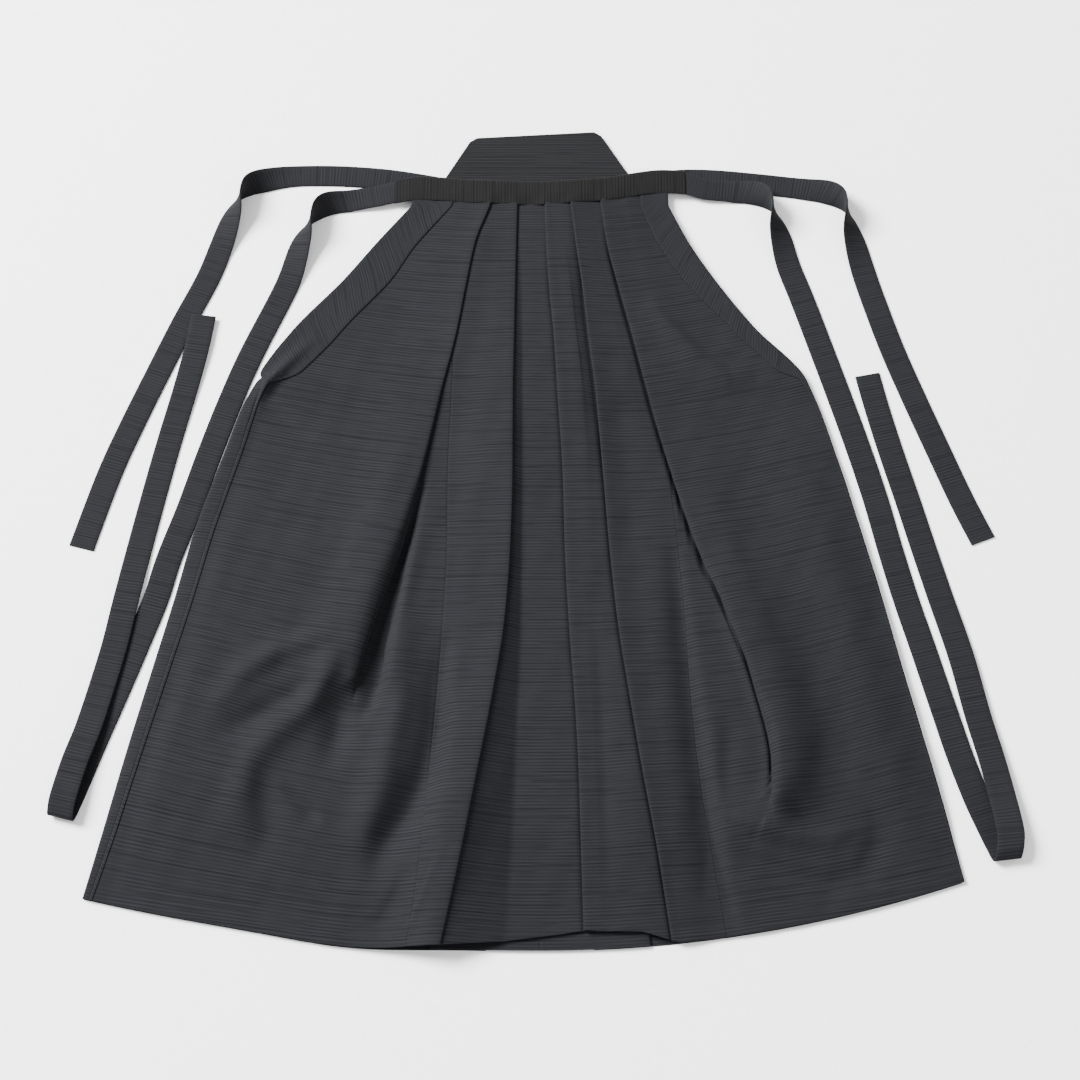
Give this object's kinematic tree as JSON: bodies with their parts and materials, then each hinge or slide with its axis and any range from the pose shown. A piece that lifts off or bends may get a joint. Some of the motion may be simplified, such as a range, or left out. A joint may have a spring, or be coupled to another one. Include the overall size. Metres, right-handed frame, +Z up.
{
  "type": "hakama trousers",
  "caption": "Pleated wide-legged hakama trousers in finely striped charcoal cloth, laid flat front up with a stiff back board and folded-back waist ties.",
  "frame": {"origin": "under the middle of the part's box, on the surface it lies on", "axes": "+Z up, out of the front; +Y towards the waist; +X to the right of the front as it is seen"},
  "size_m": [1.07, 1.049, 0.0301],
  "materials": {
    "panel_cloth": "dark charcoal cloth with fine irregular weft stripes and a slight sheen",
    "back_cloth": "the same striped cloth, on the back of the garment",
    "band_cloth": "the same cloth over a stiffened waist band",
    "tie_cloth": "the same cloth folded into flat ties",
    "board_cloth": "the same cloth over a stiff board"
  },
  "bodies": {
    "root": {"front_outer_left": "panel_cloth", "front_inner_left": "panel_cloth", "front_inner_right": "panel_cloth", "front_outer_right": "panel_cloth", "back_left": "back_cloth", "back_right": "back_cloth", "front_band": "band_cloth", "back_board": "board_cloth", "front_tie_left": "tie_cloth", "front_tie_right": "tie_cloth", "back_tie_left": "tie_cloth", "back_tie_right": "tie_cloth"}
  },
  "joints": []
}
